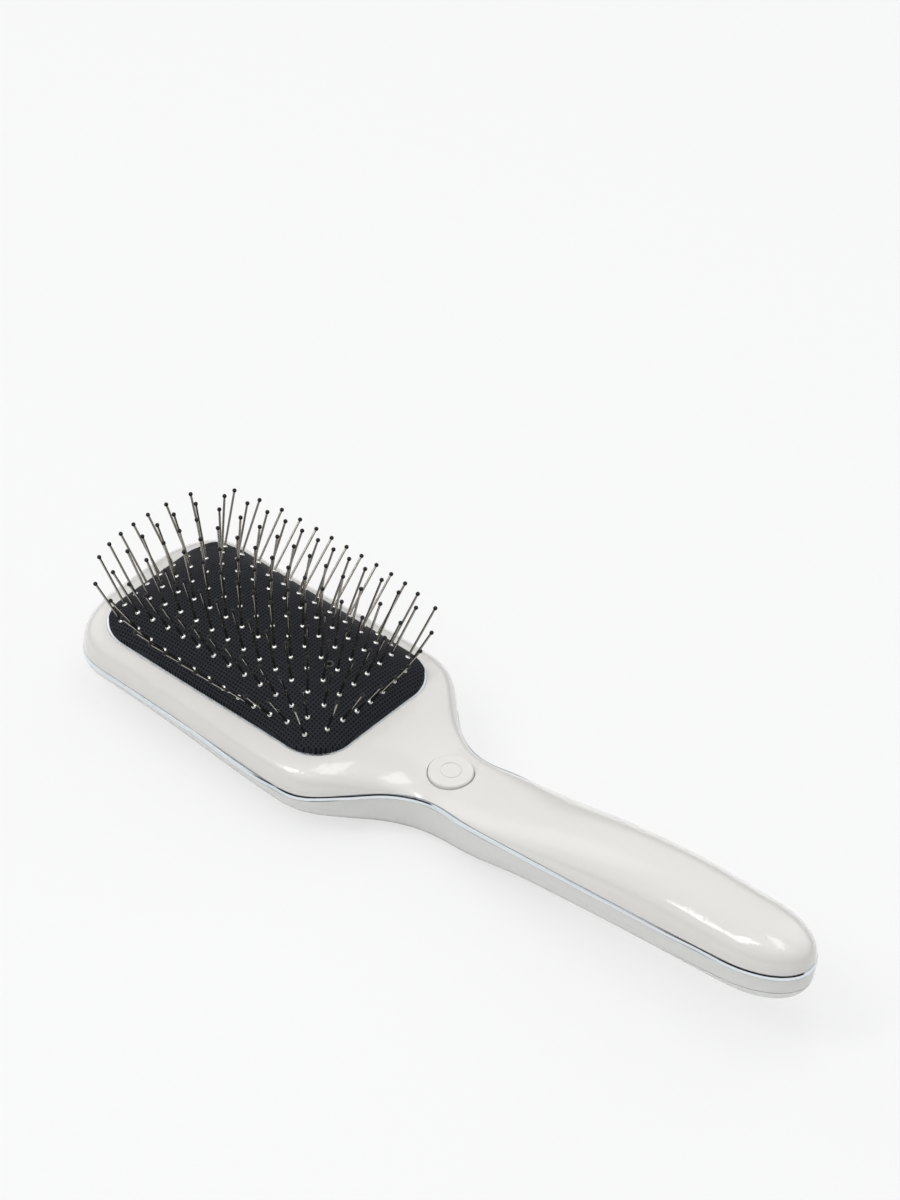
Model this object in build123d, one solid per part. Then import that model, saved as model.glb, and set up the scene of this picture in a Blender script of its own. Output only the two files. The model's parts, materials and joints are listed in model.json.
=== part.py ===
"""Battery-powered ionic paddle brush, laid on its back with the steel pins upwards.

Millimetres. +Z is up, +Y runs to the tip of the head, -Y to the end of the handle, X runs across.
The origin lies on the resting plane, under the middle of the brush's length.
"""
from build123d import *
from dataclasses import dataclass, replace
import math
import os

os.makedirs("parts", exist_ok=True)

# Overall shape
overall_length = 250.0
wall = 1.8
head_tip_y = overall_length / 2
handle_end_y = -overall_length / 2
section_steps = 12

# Cushion opening in the front shell
opening_length = 88.0
opening_width = 52.0
opening_corner = 12.0
tip_rim = 8.0
side_rim = 6.4
opening_z = 24.3
opening_centre_y = head_tip_y - tip_rim - opening_length / 2
opening_back_y = opening_centre_y - opening_length / 2
rim_crest = 0.6

# Half widths of the body, seen from above
head_half_width = opening_width / 2 + side_rim
shoulder_flare = 1.3
neck_half_width = 12.2
handle_half_width = 13.2
nose_depth = 19.0
nose_squareness = 2.8
nose_steps = 7
tail_depth = 23.0
tail_squareness = 2.1
tail_steps = 6
end_fullness = 0.55
end_angle = 86.0

# Roundness of the sections, 2 is an ellipse
head_front_squareness = 4.5
head_back_squareness = 3.0
handle_squareness = 2.5

# Heights of the parting line, the front surface and the back surface
head_trim_z = opening_z - 9.6
neck_trim_z = head_trim_z + 2.7
tail_trim_z = head_trim_z + 14.5
neck_top_z = opening_z - 4.2
handle_top_z = opening_z + 13.6
head_bottom_z = 6.6
handle_bottom_z = 13.2
rest_cut = 0.6

# The neck stands this far behind the opening
neck_setback = 26.0
neck_y = opening_back_y - neck_setback

# How the sections of the head differ from its middle
nose_narrowing = 0.8
nose_bottom_rise = 1.2
middle_bottom_fall = 1.0
flare_lead = 13.0
flare_bottom_fall = 3.2
shoulder_lead = 2.0
shoulder_narrowing = 1.6
shoulder_trim_rise = 0.2
shoulder_top_fall = 0.3
shoulder_bottom_z = 2.2
shoulder_front_squareness = 4.0
shoulder_back_squareness = 2.8

# Shoulders, per section: share of the way up from the neck, share of the widening, heights above the
# head's parting line, the neck's top and the neck's bottom, roundness in front and at the back
shoulder_profile = [
    (0.72, 0.57, 0.8, 3.3, 1.2, 3.2, 2.7),
    (0.38, 0.20, 1.7, 1.2, 0.2, 2.7, 2.6),
]

# Handle, per section: share of its run, half width, shares of the rise of the parting line, top and bottom
handle_profile = [
    (0.00, neck_half_width, 0.00, 0.00, 0.00),
    (0.14, neck_half_width + 0.5, 0.13, 0.10, 0.14),
    (0.28, handle_half_width - 0.2, 0.26, 0.30, 0.40),
    (0.45, handle_half_width, 0.42, 0.60, 0.62),
    (0.63, handle_half_width, 0.57, 0.84, 0.79),
    (0.82, handle_half_width - 0.1, 0.73, 0.97, 0.92),
    (1.00, handle_half_width - 0.7, 0.86, 1.00, 1.00),
]

# Trim band in the parting line
band_height = 2.0
band_proud = 0.25
band_depth = 1.0
lip_inset = 0.4
seat_gap = 0.05
seam_gap = 0.12

# Cushion opening's ring
bezel_wall = 0.6
bezel_proud = 0.15
well_wall = 1.2
well_drop = 1.8

# Cushion
pad_clearance = 0.1
edge_height = 1.0
crown_height = 8.9
crown_power_long = 3.55
crown_power_wide = 2.7
crown_fill = 0.9
crown_levels = (0.12, 0.3, 0.5, 0.7, 0.85, 0.94, 0.985)
skin_thickness = 1.6
flange_width = 1.6
flange_thickness = 1.2
flange_drop = 3.7
plate_thickness = 1.5
plate_post_radius = 2.5
plate_post_x = 20.0
plate_post_spread = 30.0

# Pins
pin_side = 0.66
pin_length = 16.7
pin_root = 0.9
collar_radius = 0.85
collar_height = 0.5
ball_radius = 0.65
ball_seat = 0.47
row_count = 7
column_count = 14
row_pitch = 6.0
end_row_pitch = 5.6
column_pitch = 6.2
end_column_pitch = 6.33
outer_count = 13
outer_pitch = 5.74
outer_end_pitch = 6.57
outer_row_inset = 2.6
outer_corner_inset = 4.1
outer_bow = 0.177
bow_half_length = 37.2
pin_shift = 0.85
barrel_along = 0.042
barrel_across = 0.015
barrel_half_width = 17.5
barrel_half_length = 35.0
lean = 1.1
lean_across = 0.03
lean_along = 0.075
outward_across = 0.19
outward_along = 0.05

# Outlet in the cushion
outlet_setback = 24.0
outlet_y = opening_centre_y - outlet_setback
nozzle_radius = 1.5
nozzle_bore = 0.7
nozzle_foot_radius = 3.0
nozzle_foot_height = 1.0
nozzle_clearance = 0.1
needle_radius = 0.3
needle_recess = 1.0
needle_hole_radius = 0.8

# Ion generator
module_length = 26.0
module_width = 17.0
module_height = 7.5
module_drop = 0.8
module_post_radius = 2.0
module_post_inset = 3.0

# Power button
button_radius = 6.6
button_clearance = 0.2
button_proud = 1.3
button_edge = 0.7
button_travel = 1.0
button_flange = 0.8
button_flange_height = 0.8
flange_gap = 0.35
stem_radius = 2.0
button_disc_radius = 2.9
button_disc_step = 0.2

# Switch and circuit board
board_width = 14.0
board_length = 27.0
board_thickness = 1.2
board_drop = 12.5
board_post_radius = 2.0
board_post_inset = 2.5
switch_side = 7.0
switch_height = 3.4
plunger_radius = 1.4
plunger_height = 1.6
plunger_fit = 0.1
plunger_seat = 0.5
return_spring_radius = 5.4
return_spring_wire = 0.25
return_spring_turns = 4
chip_length = 5.0
chip_width = 4.0
chip_height = 1.5
capacitor_radius = 2.2
capacitor_height = 5.0
component_inset = 4.2

# Battery compartment, in a frame that leans with the handle: u along, v up
handle_lean = 7.5
battery_radius = 7.1
battery_length = 49.2
battery_nub_radius = 2.6
battery_nub_length = 1.0
battery_setback = 71.0
battery_centre_z = 22.0
tray_gap = 0.5
tray_wall = 1.2
tray_roof_round = 4.0
spring_room = 4.6
contact_thickness = 0.4
contact_width = 8.0
contact_height = 7.0
battery_spring_radius = 3.2
battery_spring_wire = 0.3
battery_spring_turns = 4
lead_hole_radius = 0.65
lead_hole_x = 3.0
lead_hole_v = 2.0

# Battery cover that slides off towards the end of the handle
cover_plane_v = -6.1
cover_front_u = 32.5
cover_clearance = 0.25
rail_wall = 0.9
rail_hook = 0.5
rail_hook_height = 0.7
rail_top_v = -3.6
rail_clearance = 0.3
rail_half_length = 20.0
ledge_height = 0.8
ledge_half_length = 28.0

# Case screws
screw_head_radius = 2.4
screw_head_height = 1.6
screw_radius = 1.1
screw_reach = 8.0
screw_seat = 3.0
screw_clearance = 0.15
screw_slot_width = 0.6
screw_slot_length = 3.0
screw_slot_depth = 0.7
boss_wall = 1.3
boss_floor = 1.6
boss_drop = 1.2
shoulder_screw_x = 16.0
shoulder_screw_setback = 6.5
neck_screw_setback = 22.0
tail_screw_setback = 5.6
bridge_thickness = 1.6

# Leads
lead_radius = 0.5
lead_bend_share = 0.45
lead_pad_inset = 1.2
lead_pad_setback = 1.6
lead_front_run = 4.0
lead_back_run = 3.0
lead_rise = 4.0
lead_crossing_rise = 5.0
lead_boss_rise = 8.5
lead_boss_lead = 6.0
lead_boss_setback = 2.5
module_lead_inset = 3.0
module_lead_setback = 2.0
module_lead_run = 8.0

# Cuts run this far past what they cut, or wholly beyond the body
cut_over = 1.0
reach = 80.0

# Sections never close past this share of their height, nor corners past it of a half width
largest_share = 0.98

# Distance over which a slope of the crown is measured
slope_step = 0.1

ring_half_length = opening_length / 2 + bezel_wall
ring_half_width = opening_width / 2 + bezel_wall
skin_half_length = opening_length / 2 - pad_clearance
skin_half_width = opening_width / 2 - pad_clearance
skin_edge_z = opening_z + edge_height
flange_top_z = opening_z - flange_drop
well_top_z = opening_z - well_drop
plate_top_z = flange_top_z - flange_thickness
plate_bottom_z = plate_top_z - plate_thickness
module_top_z = plate_bottom_z - module_drop
module_bottom_z = module_top_z - module_height
board_top_z = neck_top_z - board_drop
board_bottom_z = board_top_z - board_thickness
switch_top_z = board_top_z + switch_height
stem_bottom_z = switch_top_z + plunger_height
flange_high_z = neck_top_z - wall - flange_gap
flange_low_z = flange_high_z - button_flange_height
battery_frame = Location((0, neck_y - battery_setback, battery_centre_z), (-handle_lean, 0, 0))
contact_front_u = battery_length / 2 + battery_nub_length + seat_gap
wall_front_u = contact_front_u + contact_thickness + seat_gap
spring_back_u = -battery_length / 2 - spring_room
wall_back_u = spring_back_u - contact_thickness - seat_gap
tray_inner = battery_radius + tray_gap
tray_outer = tray_inner + tray_wall
rail_inner = math.sqrt(battery_radius ** 2 - rail_top_v ** 2) + rail_clearance
rail_outer = rail_inner + rail_wall
hook_outer = rail_outer + rail_hook
bridge_v = rail_top_v + rail_clearance + bridge_thickness


@dataclass
class Station:
    """One section of the body across its length."""

    y: float
    half_width: float
    trim_z: float
    top_z: float
    bottom_z: float
    front_squareness: float
    back_squareness: float


def head_stations():
    """Sections of the head and the shoulders, down to the neck."""
    crest = opening_z + rim_crest
    wide = head_half_width + shoulder_flare
    span = wide - neck_half_width
    stations = [
        Station(head_tip_y - nose_depth, head_half_width - nose_narrowing, head_trim_z, crest,
                head_bottom_z + nose_bottom_rise, head_front_squareness, head_back_squareness),
        Station(opening_centre_y, head_half_width, head_trim_z, crest,
                head_bottom_z - middle_bottom_fall, head_front_squareness, head_back_squareness),
        Station(opening_back_y + flare_lead, wide, head_trim_z, crest,
                head_bottom_z - flare_bottom_fall, head_front_squareness, head_back_squareness),
        Station(opening_back_y + shoulder_lead, wide - shoulder_narrowing, head_trim_z + shoulder_trim_rise,
                crest - shoulder_top_fall, shoulder_bottom_z, shoulder_front_squareness,
                shoulder_back_squareness),
    ]
    for along, across, trim, top, bottom, front, back in shoulder_profile:
        stations.append(Station(neck_y + along * neck_setback, neck_half_width + across * span,
                                head_trim_z + trim, neck_top_z + top, bottom - rest_cut, front, back))
    return stations


def handle_stations():
    """Sections from the neck to the start of the handle's rounded end."""
    low = -rest_cut
    run = neck_y - handle_end_y - tail_depth
    rise = tail_trim_z - neck_trim_z
    lift = handle_top_z - neck_top_z
    drop = handle_bottom_z - low
    return [Station(neck_y - along * run, half_width, neck_trim_z + trim * rise, neck_top_z + top * lift,
                    low + bottom * drop, handle_squareness, handle_squareness)
            for along, half_width, trim, top, bottom in handle_profile]


def half_arc(station, top, start):
    """Curve from side to side over or under the parting line, from a height of start above or below it."""
    sign = 1 if top else -1
    height = (station.top_z - station.trim_z) if top else (station.trim_z - station.bottom_z)
    power = station.front_squareness if top else station.back_squareness
    first = math.atan2(start / height, (1 - (start / height) ** power) ** (1 / power))
    points = []
    for step in range(section_steps + 1):
        angle = first + (math.pi - 2 * first) * step / section_steps
        across = math.cos(angle)
        along = math.sin(angle)
        out = (abs(across) ** power + along ** power) ** (-1 / power)
        points.append((-station.half_width * out * across, station.y,
                       station.trim_z + sign * height * out * along))
    return Spline(points)


def end_stations(start, tip_y, trim_tip_z, squareness, steps):
    """Sections of a rounded end, which close in on its tip."""
    depth = tip_y - start.y
    closing = []
    for step in range(1, steps + 1):
        angle = math.radians(end_angle) * step / steps
        along = math.sin(angle) ** (2 / squareness)
        across = math.cos(angle) ** (2 / squareness)
        height = across ** end_fullness
        trim = start.trim_z + (trim_tip_z - start.trim_z) * along
        closing.append(replace(start, y=start.y + depth * along, half_width=start.half_width * across,
                               trim_z=trim, top_z=trim + (start.top_z - start.trim_z) * height,
                               bottom_z=trim - (start.trim_z - start.bottom_z) * height))
    return closing


def sections(inset):
    """All sections from the tip of the head to the end of the handle, drawn in by the inset."""
    middle = [replace(station, half_width=station.half_width - inset, top_z=station.top_z - inset,
                      bottom_z=station.bottom_z + inset)
              for station in head_stations() + handle_stations()]
    nose = end_stations(middle[0], head_tip_y - inset, head_trim_z, nose_squareness, nose_steps)
    tail = end_stations(middle[-1], handle_end_y + inset, tail_trim_z, tail_squareness, tail_steps)
    return nose[::-1] + middle + tail


def half_body(inset, top, start):
    """The outer form over or under the parting line, drawn in by the inset, from a height of start."""
    faces = []
    for station in sections(inset):
        arc = half_arc(station, top, start)
        faces.append(Face(Wire([arc, Line(arc @ 1, arc @ 0)])))
    return Solid(loft(faces).wrapped)


def side_x(station, top, height):
    """Half width of the outer form at a height above or below the parting line."""
    full = (station.top_z - station.trim_z) if top else (station.trim_z - station.bottom_z)
    power = station.front_squareness if top else station.back_squareness
    share = min(height / full, largest_share)
    return station.half_width * (1 - share ** power) ** (1 / power)


def belt(inset, low, high):
    """A belt round the parting line, drawn in by the inset, between two heights about that line."""
    faces = []
    for outer, station in zip(sections(0), sections(inset)):
        drawn_in = outer.half_width - station.half_width
        top = side_x(outer, True, high) - drawn_in
        bottom = side_x(outer, False, -low) - drawn_in
        corners = [(-top, high), (-station.half_width, 0), (-bottom, low),
                   (bottom, low), (station.half_width, 0), (top, high)]
        faces.append(Face(Wire.make_polygon([(x, station.y, station.trim_z + z) for x, z in corners])))
    return Solid(loft(faces).wrapped)


def block(low, high):
    """A box between two corners."""
    size = [high[i] - low[i] for i in range(3)]
    centre = [(high[i] + low[i]) / 2 for i in range(3)]
    return Pos(*centre) * Box(*size)


def rod(radius, x, y, low, high):
    """An upright round rod."""
    return Pos(x, y, (low + high) / 2) * Cylinder(radius, high - low)


def rounded_block(half_length, half_width, corner, low, high):
    """A block with rounded corners over the middle of the opening."""
    return Pos(0, opening_centre_y, low) * extrude(RectangleRounded(2 * half_width, 2 * half_length, corner),
                                                   high - low)


def crown_z(x, y):
    """Height of the cushion's surface over a point, y counted from the middle of the opening."""
    long_side = 1 - abs(y / skin_half_length) ** crown_power_long
    wide_side = 1 - abs(x / skin_half_width) ** crown_power_wide
    return skin_edge_z + crown_height * (long_side * wide_side) ** crown_fill


def crown(inset):
    """The solid under the cushion's crown, drawn in by the inset, down to the plate."""
    half_length = skin_half_length - inset
    half_width = skin_half_width - inset
    edge_z = skin_edge_z - inset
    base = RectangleRounded(2 * half_width, 2 * half_length, opening_corner - inset)
    levels = [Pos(0, opening_centre_y, plate_top_z) * base, Pos(0, opening_centre_y, edge_z) * base]
    for share in crown_levels:
        fill = share ** (1 / crown_fill)
        long_side = half_length * (1 - fill) ** (1 / crown_power_long)
        wide_side = half_width * (1 - fill) ** (1 / crown_power_wide)
        long_fall = long_side - half_length * (1 - math.sqrt(fill)) ** (1 / crown_power_long)
        wide_fall = wide_side - half_width * (1 - math.sqrt(fill)) ** (1 / crown_power_wide)
        corner = long_fall + wide_fall + math.sqrt(2 * long_fall * wide_fall)
        corner = min(corner, largest_share * wide_side)
        level = RectangleRounded(2 * wide_side, 2 * long_side, corner)
        levels.append(Pos(0, opening_centre_y, edge_z + share * crown_height) * level)
    return loft(levels, ruled=True)


def pin_feet():
    """Where the pins stand, x across and y from the middle of the opening."""
    feet = []
    middle_row = (row_count - 1) / 2
    middle_column = (column_count - 1) / 2
    for row in range(row_count):
        for column in range(column_count):
            step = column - middle_column
            x = (row - middle_row) * row_pitch
            y = step * column_pitch
            if abs(step) == middle_column:
                x = (row - middle_row) * end_row_pitch
                y = math.copysign((middle_column - 1) * column_pitch + end_column_pitch, step)
            feet.append((x * (1 - barrel_across * (y / barrel_half_length) ** 2),
                         y * (1 - barrel_along * (x / barrel_half_width) ** 2) + pin_shift))
    middle = (outer_count - 1) // 2
    for side in (-1, 1):
        for step in range(-middle, middle + 1):
            y = step * outer_pitch
            x = (opening_width / 2 - outer_row_inset) * (1 - outer_bow * (y / bow_half_length) ** 4)
            if abs(step) == middle:
                y = math.copysign((middle - 1) * outer_pitch + outer_end_pitch, step)
                x = opening_width / 2 - outer_corner_inset
            feet.append((side * x, y + pin_shift))
    return feet


def pin_plane(x, y):
    """The plane at a pin's foot, its z along the pin. The +X side's pins lean out further."""
    step = slope_step
    slope_x = (crown_z(x + step, y) - crown_z(x - step, y)) / (2 * step)
    slope_y = (crown_z(x, y + step) - crown_z(x, y - step)) / (2 * step)
    out_x = outward_across * (max(x, 0) / (opening_width / 2 - outer_corner_inset)) ** 3
    out_y = outward_along * (y / bow_half_length) ** 3
    direction = (out_x - lean * slope_x + lean_across, out_y - lean * slope_y + lean_along, 1)
    foot = (x, y + opening_centre_y, crown_z(x, y))
    return Plane(origin=foot, x_dir=(1, 0, -direction[0]), z_dir=direction)


def surface_z(solid, x, y, lowest):
    """Height at which an upright line enters or leaves a solid."""
    hits = solid.find_intersection_points(Axis((x, y, -reach), (0, 0, 1)))
    heights = [point.Z for point, normal in hits]
    return min(heights) if lowest else max(heights)


def cover_zone(gap):
    """The space of the battery cover, below its sliding plane and behind its front edge."""
    front = cover_front_u - gap
    zone = block((-reach, front - overall_length, -reach), (reach, front, cover_plane_v - gap))
    return battery_frame * zone


def screw_places(outer):
    """Seat of each case screw's head, its z along the screw."""
    places = []
    for x, y in ((shoulder_screw_x, opening_back_y - shoulder_screw_setback),
                 (-shoulder_screw_x, opening_back_y - shoulder_screw_setback),
                 (0, neck_y - neck_screw_setback)):
        places.append(Location((x, y, surface_z(outer, x, y, True) + screw_seat)))
    tail_u = wall_back_u - tray_wall - tail_screw_setback
    places.append(battery_frame * Location((0, tail_u, bridge_v - bridge_thickness)))
    return places


def lead(points):
    """A round lead along straight runs joined by arcs as large as the runs allow."""
    vectors = [Vector(*point) for point in points]
    radii = []
    for before, corner, after in zip(vectors, vectors[1:], vectors[2:]):
        first = corner - before
        second = after - corner
        turn = math.radians(first.get_angle(second))
        radii.append(lead_bend_share * min(first.length, second.length) / math.tan(turn / 2))
    path = FilletPolyline(*vectors, radius=radii)
    return sweep(Plane(origin=path @ 0, z_dir=path % 0) * Circle(lead_radius), path=path)


def coil(radius, wire, turns, height):
    """An upright wire coil that stands on its own end."""
    path = Helix(pitch=(height - 2 * wire) / turns, height=height - 2 * wire, radius=radius)
    return Pos(0, 0, wire) * sweep(Plane(origin=path @ 0, z_dir=path % 0) * Circle(wire), path=path)


def in_battery_frame(x, u, v):
    """A point of the battery's frame in the brush's own frame."""
    place = battery_frame * Location((x, u, v))
    return tuple(place.position)


def make_front_shell(outer, places):
    """Upper case half with its cushion well and the bosses that take the screws."""
    part = outer - half_body(wall, True, 0)
    part += rounded_block(ring_half_length + seat_gap + well_wall, ring_half_width + seat_gap + well_wall,
                          opening_corner + bezel_wall + well_wall, flange_top_z + seat_gap, well_top_z)
    limit = half_body(wall / 2, True, 0)
    for place in places:
        x, y = place.position.X, place.position.Y
        top = place.inverse() * Location((x, y, surface_z(outer, x, y, False)))
        boss = place * rod(screw_radius + boss_wall, 0, 0, boss_floor + seat_gap, top.position.Z - boss_drop)
        part += boss & limit
    for place in places:
        part -= place * rod(screw_radius, 0, 0, 0, screw_reach + seat_gap)
    part -= rounded_block(ring_half_length + seat_gap, ring_half_width + seat_gap,
                          opening_corner + bezel_wall, flange_top_z - reach, opening_z + reach)
    part -= rod(button_radius + button_clearance, 0, neck_y, flange_low_z, reach)
    return part


def floor_post(outer, radius, x, y, top):
    """A post that stands in the back shell's wall."""
    return rod(radius, x, y, surface_z(outer, x, y, True) + wall / 2, top)


def make_back_shell(outer, places):
    """Lower case half with the lip behind the band, posts, ledges and the screws' seats."""
    part = outer - half_body(wall, False, 0)
    part -= block((-reach, -2 * reach, -reach), (reach, 2 * reach, 0))
    part += belt(band_depth + seam_gap, -band_height, band_height / 2 - seam_gap) - belt(
        wall + lip_inset, -band_height - cut_over, band_height / 2 + cut_over)
    part -= cover_zone(0)
    for side in (-1, 1):
        for end in (-1, 1):
            part += floor_post(outer, plate_post_radius, side * plate_post_x,
                               opening_centre_y + end * plate_post_spread, plate_bottom_z - seat_gap)
            part += floor_post(outer, module_post_radius, side * (module_width / 2 - module_post_inset),
                               outlet_y + end * (module_length / 2 - module_post_inset),
                               module_bottom_z - seat_gap)
            part += floor_post(outer, board_post_radius, side * (board_width / 2 - board_post_inset),
                               neck_y + end * (board_length / 2 - board_post_inset),
                               board_bottom_z - seat_gap)
    tail_u = (battery_frame.inverse() * places[3]).position.Y
    bridge_half = screw_head_radius + boss_wall
    bridge = block((-reach, tail_u - bridge_half, bridge_v - bridge_thickness),
                   (reach, tail_u + bridge_half, bridge_v))
    ledges = block((-reach, -ledge_half_length, cover_plane_v),
                   (reach, ledge_half_length, cover_plane_v + ledge_height))
    ledges -= block((-hook_outer - rail_clearance, -reach, -reach),
                    (hook_outer + rail_clearance, reach, reach))
    limit = half_body(wall / 2, False, band_height / 2)
    part += (battery_frame * bridge) & limit
    part += (battery_frame * ledges) & limit
    head_hole = screw_head_radius + screw_clearance
    for place in places[:3]:
        part += (place * rod(head_hole + boss_wall, 0, 0, -screw_seat, boss_floor)) & limit
    for place in places:
        part -= place * rod(head_hole, 0, 0, -reach, 0)
        part -= place * rod(screw_radius + screw_clearance, 0, 0, -cut_over, boss_floor + cut_over)
    return part


def make_battery_cover(outer):
    """Cover of the battery bay with two straight rails whose hooks ride in the tray."""
    part = (outer - half_body(wall, False, 0)) & cover_zone(cover_clearance)
    limit = half_body(wall / 2, False, band_height / 2)
    low = cover_plane_v - reach
    for side in (-1, 1):
        near, far = sorted((side * rail_inner, side * rail_outer))
        rail = block((near, -rail_half_length, low), (far, rail_half_length, rail_top_v))
        near, far = sorted((side * rail_inner, side * hook_outer))
        hook = block((near, -rail_half_length, rail_top_v - rail_hook_height),
                     (far, rail_half_length, rail_top_v))
        part += (battery_frame * (rail + hook)) & limit
    return part


def make_battery_tray():
    """Open-bottomed tray round the battery, with grooves for the cover's hooks."""
    front = wall_front_u + tray_wall
    back = wall_back_u - tray_wall
    foot = cover_plane_v + ledge_height + seat_gap
    part = block((-tray_outer, back, foot), (tray_outer, front, tray_outer))
    part = fillet(part.edges().filter_by(Axis.Y).group_by(Axis.Z)[-1], tray_roof_round)
    hollow = block((-tray_inner, wall_back_u, foot - cut_over), (tray_inner, wall_front_u, tray_inner))
    hollow = fillet(hollow.edges().filter_by(Axis.Y).group_by(Axis.Z)[-1], tray_roof_round - tray_wall)
    part -= hollow
    before = back - cut_over
    beyond = front + cut_over
    groove_top = rail_top_v + rail_clearance
    part -= block((-tray_inner, before, foot - cut_over), (tray_inner, beyond, groove_top))
    part -= block((-hook_outer - rail_clearance, before, rail_top_v - rail_hook_height - rail_clearance),
                  (hook_outer + rail_clearance, beyond, groove_top))
    part -= Pos(lead_hole_x, front, lead_hole_v) * Rot(90, 0, 0) * Cylinder(lead_hole_radius, 4 * tray_wall)
    part -= Pos(-lead_hole_x, back, lead_hole_v) * Rot(90, 0, 0) * Cylinder(lead_hole_radius, 4 * tray_wall)
    return battery_frame * part


def make_bezel():
    """Thin ring in the opening, its top face along the front shell."""
    ring = rounded_block(ring_half_length, ring_half_width, opening_corner + bezel_wall,
                         flange_top_z + seat_gap, opening_z + crown_height)
    ring -= rounded_block(opening_length / 2, opening_width / 2, opening_corner, 0, opening_z + reach)
    return ring & half_body(-bezel_proud, True, band_height / 2)


def make_pin_cushion():
    """Rubber skin with its flange and outlet hole, its pins and their collars in one piece."""
    flange = rounded_block(skin_half_length + flange_width, skin_half_width + flange_width,
                           opening_corner + flange_width, plate_top_z, flange_top_z)
    skin = crown(0) + flange - crown(skin_thickness)
    skin -= rod(nozzle_radius + nozzle_clearance, 0, outlet_y, plate_top_z, reach)
    strands = []
    for x, y in pin_feet():
        plane = pin_plane(x, y)
        pin = plane * Pos(0, 0, (pin_length - ball_seat - pin_root) / 2) * Box(
            pin_side, pin_side, pin_length - ball_seat + pin_root)
        collar = plane * Pos(0, 0, (collar_height - pin_root) / 2) * Cylinder(
            collar_radius, collar_height + pin_root)
        strands += [pin, collar]
    return skin.fuse(*strands)


def make_ball_tips():
    """One ball on the end of each pin, with a flat seat."""
    ball = Sphere(ball_radius) & Pos(0, 0, -ball_seat) * Cylinder(
        2 * ball_radius, 4 * ball_radius, align=(Align.CENTER, Align.CENTER, Align.MIN))
    return Compound([pin_plane(x, y) * Pos(0, 0, pin_length) * ball for x, y in pin_feet()])


def make_button():
    """Round cap with a shallow ring in its top, a holding flange and a stem."""
    top = neck_top_z + button_proud
    cap = rod(button_radius, 0, neck_y, flange_low_z, top)
    cap = fillet(cap.edges().group_by(Axis.Z)[-1], button_edge)
    cap += rod(button_radius + button_flange, 0, neck_y, flange_low_z, flange_high_z)
    cap += rod(stem_radius, 0, neck_y, stem_bottom_z, flange_low_z)
    ring = rod(button_disc_radius + button_disc_step, 0, neck_y, top - button_disc_step, top + cut_over)
    ring -= rod(button_disc_radius, 0, neck_y, top - button_disc_step, top + cut_over)
    return cap - ring


def make_switch():
    """Push switch on the board, as a body with a well and a plunger that runs in it."""
    half = switch_side / 2
    housing = block((-half, neck_y - half, board_top_z), (half, neck_y + half, switch_top_z))
    housing -= rod(plunger_radius + plunger_fit, 0, neck_y,
                   switch_top_z - plunger_seat - button_travel - plunger_fit, switch_top_z + cut_over)
    plunger = rod(plunger_radius, 0, neck_y, switch_top_z - plunger_seat, stem_bottom_z)
    return housing, plunger


def make_board():
    """Circuit board and what is soldered to it."""
    half_width = board_width / 2
    half_length = board_length / 2
    board = block((-half_width, neck_y - half_length, board_bottom_z),
                  (half_width, neck_y + half_length, board_top_z))
    chip_y = neck_y - half_length + component_inset
    capacitor_y = neck_y + half_length - component_inset
    chip = block((-chip_width / 2, chip_y - chip_length / 2, board_top_z),
                 (chip_width / 2, chip_y + chip_length / 2, board_top_z + chip_height))
    capacitor = rod(capacitor_radius, 0, capacitor_y, board_top_z, board_top_z + capacitor_height)
    return board, Compound([chip, capacitor])


def make_screw():
    """Pan-head screw with a cross recess, its seat at the origin."""
    head = rod(screw_head_radius, 0, 0, -screw_head_height, 0)
    half_slot = screw_slot_length / 2
    half_width = screw_slot_width / 2
    low = -screw_head_height - cut_over
    high = screw_slot_depth - screw_head_height
    head -= block((-half_slot, -half_width, low), (half_slot, half_width, high))
    head -= block((-half_width, -half_slot, low), (half_width, half_slot, high))
    return head + rod(screw_radius, 0, 0, 0, screw_reach)


def battery_lead_points():
    """Routes of the two leads from the battery's contacts to the board."""
    board_end_y = neck_y - board_length / 2
    drop_y = board_end_y + lead_pad_setback
    pad_x = board_width / 2 - lead_pad_inset
    boss_y = neck_y - neck_screw_setback
    front = wall_front_u + tray_wall
    back = wall_back_u - tray_wall
    run_x = tray_outer + 2 * lead_radius
    positive = [
        in_battery_frame(lead_hole_x, contact_front_u + contact_thickness + seat_gap, lead_hole_v),
        in_battery_frame(lead_hole_x, front + lead_front_run, lead_hole_v),
        (pad_x, boss_y - lead_boss_setback, board_top_z + lead_boss_rise),
        (pad_x, boss_y + lead_boss_lead, board_top_z + lead_crossing_rise),
        (pad_x, drop_y, board_top_z + lead_rise),
        (pad_x, drop_y, board_top_z + seat_gap),
    ]
    negative = [
        in_battery_frame(-lead_hole_x, spring_back_u - contact_thickness - seat_gap, lead_hole_v),
        in_battery_frame(-lead_hole_x, back - lead_back_run, lead_hole_v),
        in_battery_frame(-run_x, back - lead_back_run, lead_hole_v),
        in_battery_frame(-run_x, front + lead_front_run / 2, lead_hole_v),
        (-pad_x, boss_y - lead_boss_setback, board_top_z + lead_boss_rise),
        (-pad_x, boss_y + lead_boss_lead, board_top_z + lead_crossing_rise),
        (-pad_x, drop_y, board_top_z + lead_rise),
        (-pad_x, drop_y, board_top_z + seat_gap),
    ]
    return positive, negative


def module_lead_points(side):
    """Route of one lead from the board to the ion generator."""
    x = side * (board_width / 2 - module_lead_inset)
    start_y = neck_y + board_length / 2 - module_lead_setback
    end_y = outlet_y - module_length / 2 - seat_gap
    height = module_bottom_z + module_height / 2
    return [(x, start_y, board_top_z + seat_gap), (x, start_y, board_top_z + lead_rise),
            (x, end_y - module_lead_run, height), (x, end_y, height)]


front_body = half_body(0, True, band_height / 2)
back_body = half_body(0, False, band_height / 2)
screws = screw_places(back_body)

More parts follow.
